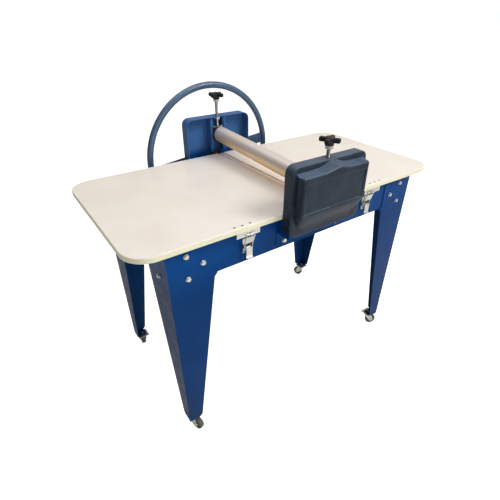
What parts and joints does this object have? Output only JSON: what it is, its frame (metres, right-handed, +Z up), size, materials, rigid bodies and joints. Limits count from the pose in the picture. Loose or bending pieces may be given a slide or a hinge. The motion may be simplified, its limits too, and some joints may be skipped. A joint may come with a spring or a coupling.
{
  "type": "etching press",
  "caption": "Two-roller table press on a wheeled sheet stand: handwheel turns the lower roller, screws set the upper roller's height and level.",
  "frame": {"origin": "on the floor, directly under the middle of the nip line between the rollers", "axes": "+X along the table, +Y along the rollers towards the handwheel, +Z up"},
  "size_m": [1.4, 0.874, 1.219],
  "materials": {
    "white_laminate": "satin",
    "blue_paint": "gloss",
    "wheel_paint": "gloss",
    "charcoal_cover": "satin",
    "black_plastic": "matte",
    "caster_rubber": "matte",
    "roller_steel": "polished",
    "turned_steel": "satin",
    "bearing_bronze": "satin",
    "block_iron": "matte",
    "zinc_plate": "satin"
  },
  "bodies": {
    "frame": {"left_table_board": "white_laminate", "right_table_board": "white_laminate", "front_apron": "blue_paint", "rear_apron": "blue_paint", "left_end_rail": "blue_paint", "right_end_rail": "blue_paint", "front_left_leg": "blue_paint", "front_right_leg": "blue_paint", "rear_left_leg": "blue_paint", "rear_right_leg": "blue_paint", "frame_bolts": "zinc_plate", "frame_nuts": "zinc_plate", "front_side_pan": "blue_paint", "rear_side_pan": "blue_paint", "block_guide_rails": "blue_paint", "lower_bearings": "block_iron", "screw_bushes": "zinc_plate", "front_cover": "charcoal_cover", "cover_screws": "black_plastic", "strike_plates": "zinc_plate", "board_screws": "black_plastic", "latch_bases": "zinc_plate", "caster_mounts": "zinc_plate"},
    "lower_roller": {"lower_roller_tube": "roller_steel", "lower_roller_shaft": "turned_steel", "handwheel_rim": "wheel_paint", "handwheel_spoke": "wheel_paint", "handwheel_hub": "wheel_paint", "handwheel_nut": "zinc_plate"},
    "front_block": {"front_bearing_block": "block_iron", "front_keeper_plate": "zinc_plate", "front_keeper_screws": "zinc_plate"},
    "front_screw": {"front_adjusting_screw": "turned_steel", "front_thrust_washer": "bearing_bronze", "front_jam_nut": "zinc_plate", "front_knob": "black_plastic"},
    "rear_block": {"rear_bearing_block": "block_iron", "rear_keeper_plate": "zinc_plate", "rear_keeper_screws": "zinc_plate"},
    "rear_washer": {"rear_thrust_washer": "bearing_bronze"},
    "rear_screw": {"rear_adjusting_screw": "turned_steel", "rear_jam_nut": "zinc_plate", "rear_knob": "black_plastic"},
    "front_ball": {"front_bearing_ball": "bearing_bronze"},
    "rear_ball": {"rear_bearing_ball": "bearing_bronze"},
    "upper_roller": {"upper_roller_tube": "roller_steel", "upper_roller_shaft": "turned_steel"},
    "left_latch_lever": {"left_latch_lever": "zinc_plate"},
    "left_latch_loop": {"left_latch_loop": "zinc_plate"},
    "right_latch_lever": {"right_latch_lever": "zinc_plate"},
    "right_latch_loop": {"right_latch_loop": "zinc_plate"},
    "front_left_fork": {"front_left_caster_fork": "zinc_plate"},
    "front_left_wheel": {"front_left_caster_wheel": "caster_rubber"},
    "front_right_fork": {"front_right_caster_fork": "zinc_plate"},
    "front_right_wheel": {"front_right_caster_wheel": "caster_rubber"},
    "rear_left_fork": {"rear_left_caster_fork": "zinc_plate"},
    "rear_left_wheel": {"rear_left_caster_wheel": "caster_rubber"},
    "rear_right_fork": {"rear_right_caster_fork": "zinc_plate"},
    "rear_right_wheel": {"rear_right_caster_wheel": "caster_rubber"}
  },
  "joints": [
    {"name": "handwheel_turn", "type": "hinge", "parent": "frame", "child": "lower_roller", "pos_m": [0, 0, 0.884], "axis": [0, 1, 0], "continuous": true},
    {"name": "roller_lift", "type": "slide", "parent": "frame", "child": "front_block", "axis": [0, 0, 1], "range_m": [-0.0265, 0.02]},
    {"name": "front_screw_turn", "type": "hinge", "parent": "front_block", "child": "front_screw", "pos_m": [0, -0.359, 0.975], "axis": [0, 0, 1], "range_deg": [-3180, 2400]},
    {"name": "rear_block_lift", "type": "slide", "parent": "front_block", "child": "rear_block", "axis": [0, 0, 1], "range_m": [-0.0298, 0.008]},
    {"name": "rear_screw_lift_turn", "type": "hinge", "parent": "rear_block", "child": "rear_washer", "pos_m": [0, 0.359, 1.0048], "axis": [0, 0, 1], "range_deg": [-3180, 2400]},
    {"name": "rear_screw_turn", "type": "hinge", "parent": "rear_washer", "child": "rear_screw", "pos_m": [0, 0.359, 1.0048], "axis": [0, 0, 1], "range_deg": [-3576, 960]},
    {"name": "roller_tilt", "type": "hinge", "parent": "front_block", "child": "front_ball", "pos_m": [0, -0.359, 0.975], "axis": [1, 0, 0], "range_deg": [-2.42, 0.66]},
    {"name": "rear_ball_tilt", "type": "hinge", "parent": "rear_block", "child": "rear_ball", "pos_m": [0, 0.359, 1.0048], "axis": [1, 0, 0], "range_deg": [-2.42, 0.66]},
    {"name": "upper_roller_turn", "type": "hinge", "parent": "front_ball", "child": "upper_roller", "pos_m": [0, -0.359, 0.975], "axis": [0, 0.9991, 0.0415], "continuous": true},
    {"name": "left_latch_open", "type": "hinge", "parent": "frame", "child": "left_latch_lever", "pos_m": [-0.296, -0.322, 0.821], "axis": [1, 0, 0], "range_deg": [-90, 0]},
    {"name": "left_loop_swing", "type": "hinge", "parent": "left_latch_lever", "child": "left_latch_loop", "pos_m": [-0.296, -0.317, 0.809], "axis": [1, 0, 0], "range_deg": [0, 78.3]},
    {"name": "right_latch_open", "type": "hinge", "parent": "frame", "child": "right_latch_lever", "pos_m": [0.296, -0.322, 0.821], "axis": [1, 0, 0], "range_deg": [-90, 0]},
    {"name": "right_loop_swing", "type": "hinge", "parent": "right_latch_lever", "child": "right_latch_loop", "pos_m": [0.296, -0.317, 0.809], "axis": [1, 0, 0], "range_deg": [0, 78.3]},
    {"name": "front_left_swivel", "type": "hinge", "parent": "frame", "child": "front_left_fork", "pos_m": [-0.545, -0.279, 0.06], "axis": [0, 0, 1], "continuous": true},
    {"name": "front_left_roll", "type": "hinge", "parent": "front_left_fork", "child": "front_left_wheel", "pos_m": [-0.53782, -0.29873, 0.027], "axis": [0.9397, 0.342, 0], "continuous": true},
    {"name": "front_right_swivel", "type": "hinge", "parent": "frame", "child": "front_right_fork", "pos_m": [0.545, -0.279, 0.06], "axis": [0, 0, 1], "continuous": true},
    {"name": "front_right_roll", "type": "hinge", "parent": "front_right_fork", "child": "front_right_wheel", "pos_m": [0.56403, -0.28787, 0.027], "axis": [0.4226, 0.9063, 0], "continuous": true},
    {"name": "rear_left_swivel", "type": "hinge", "parent": "frame", "child": "rear_left_fork", "pos_m": [-0.545, 0.279, 0.06], "axis": [0, 0, 1], "continuous": true},
    {"name": "rear_left_roll", "type": "hinge", "parent": "rear_left_fork", "child": "rear_left_wheel", "pos_m": [-0.54135, 0.29968, 0.027], "axis": [-0.9848, 0.1736, 0], "continuous": true},
    {"name": "rear_right_swivel", "type": "hinge", "parent": "frame", "child": "rear_right_fork", "pos_m": [0.545, 0.279, 0.06], "axis": [0, 0, 1], "continuous": true},
    {"name": "rear_right_roll", "type": "hinge", "parent": "rear_right_fork", "child": "rear_right_wheel", "pos_m": [0.53782, 0.29873, 0.027], "axis": [-0.9397, -0.342, 0], "continuous": true}
  ],
  "couplings": [
    {"joint": "front_screw_turn", "follows": "roller_lift", "rad_per_m": 2094.4},
    {"joint": "rear_screw_lift_turn", "follows": "roller_lift", "rad_per_m": 2094.4},
    {"joint": "rear_screw_turn", "follows": "rear_block_lift", "rad_per_m": 2094.4},
    {"joint": "roller_tilt", "follows": "rear_block_lift", "rad_per_m": 1.3919},
    {"joint": "rear_ball_tilt", "follows": "rear_block_lift", "rad_per_m": 1.3919},
    {"joint": "left_loop_swing", "follows": "left_latch_open", "ratio": -0.87},
    {"joint": "right_loop_swing", "follows": "right_latch_open", "ratio": -0.87}
  ]
}
